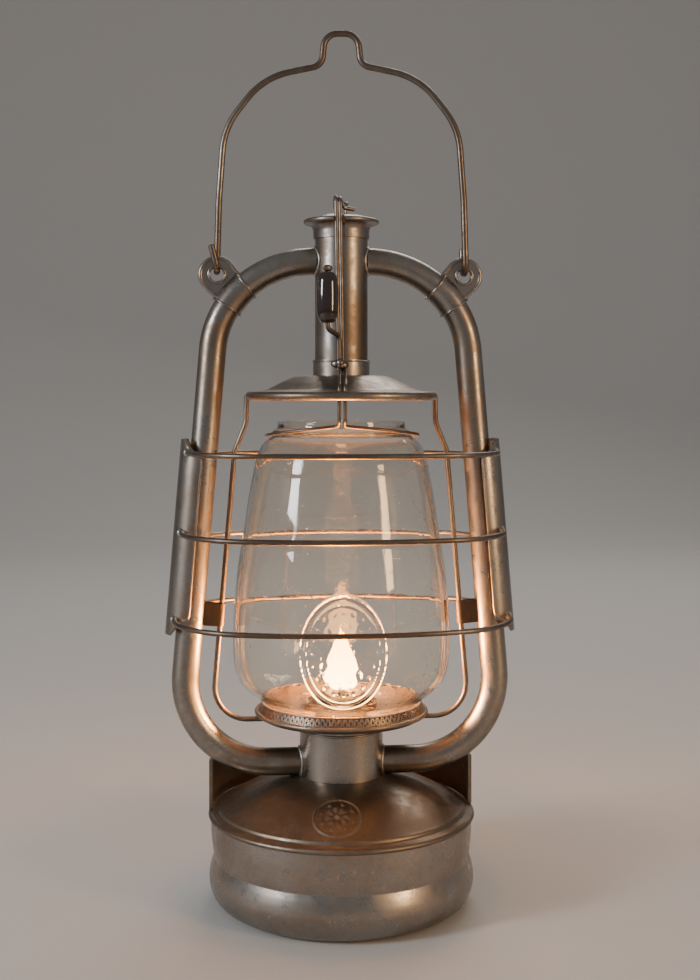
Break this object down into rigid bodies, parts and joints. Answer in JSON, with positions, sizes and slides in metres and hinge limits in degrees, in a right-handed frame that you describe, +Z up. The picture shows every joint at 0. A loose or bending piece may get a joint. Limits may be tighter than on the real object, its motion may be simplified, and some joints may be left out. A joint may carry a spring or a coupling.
{
  "type": "barn lantern",
  "caption": "Hot-blast tubular barn lantern: round fuel fount, two side air tubes, chimney, glass globe in a wire guard, globe lift with grip, and a wire carrying bail.",
  "frame": {"origin": "centre of the fount's underside, on the surface it stands on", "axes": "+Z up along the chimney, -Y the front with the globe's pressed mark, +X the right-hand side tube"},
  "size_m": [0.1622, 0.1226, 0.4014],
  "materials": {
    "tinplate": "aged tinplate, satin with brown stains",
    "steel_wire": "darkened drawn steel wire",
    "clear_glass": "clear blown glass with seeds",
    "dark_grip": "turned, dark glossy lacquer",
    "aged_brass": "aged, smoked",
    "cotton_wick": "woven cotton",
    "cork_seal": "matte"
  },
  "bodies": {
    "frame": {"fount_top": "tinplate", "fount_pan": "tinplate", "fount_base": "tinplate", "filler_neck": "tinplate", "rear_skirt": "tinplate", "lower_tube_left": "tinplate", "lower_tube_right": "tinplate", "upper_tube_left": "tinplate", "upper_tube_right": "tinplate", "ear_left": "tinplate", "ear_right": "tinplate", "guide_clip_left": "tinplate", "guide_clip_right": "tinplate", "guard_plate_left": "tinplate", "guard_plate_right": "tinplate", "guard_wire_front_top": "steel_wire", "guard_wire_front_middle": "steel_wire", "guard_wire_front_bottom": "steel_wire", "guard_wire_rear_top": "steel_wire", "guard_wire_rear_middle": "steel_wire", "guard_wire_rear_bottom": "steel_wire", "air_chamber": "tinplate", "burner_socket": "aged_brass", "burner_body": "aged_brass", "draft_plate": "aged_brass", "burner_cone": "aged_brass", "wick_tube": "aged_brass", "chimney_tube": "tinplate", "chimney_flange": "tinplate", "chimney_lid": "tinplate", "lid_staple": "steel_wire"},
    "carriage": {"hood": "tinplate", "hood_collar": "tinplate", "guide_wire_left": "steel_wire", "guide_wire_right": "steel_wire", "gallery": "tinplate", "globe": "clear_glass", "globe_spring_left": "steel_wire", "globe_spring_right": "steel_wire", "lift_rod": "steel_wire", "grip_arm": "steel_wire", "grip": "dark_grip", "rod_binding": "tinplate"},
    "bail": {"bail": "steel_wire"},
    "wick_spindle": {"wick_shaft": "steel_wire", "star_wheels": "aged_brass", "wick_knob": "aged_brass"},
    "wick": {"wick": "cotton_wick"},
    "filler_cap": {"filler_cap": "tinplate", "cap_gasket": "cork_seal"}
  },
  "joints": [
    {"name": "globe_lift", "type": "slide", "parent": "frame", "child": "carriage", "axis": [0, 0, 1], "range_m": [0, 0.026]},
    {"name": "bail_swing", "type": "hinge", "parent": "frame", "child": "bail", "pos_m": [0, 0, 0.29365], "axis": [1, 0, 0], "range_deg": [-90, 90]},
    {"name": "wick_turn", "type": "hinge", "parent": "frame", "child": "wick_spindle", "pos_m": [0.0054, 0, 0.072], "axis": [0, 1, 0], "range_deg": [-257, 85]},
    {"name": "wick_rise", "type": "slide", "parent": "frame", "child": "wick", "axis": [0, 0, 1], "range_m": [-0.018, 0.006]},
    {"name": "cap_off", "type": "slide", "parent": "frame", "child": "filler_cap", "axis": [0, 0, 1], "range_m": [0, 0.02]}
  ],
  "couplings": [
    {"joint": "wick_rise", "follows": "wick_turn", "m_per_rad": 0.004}
  ]
}
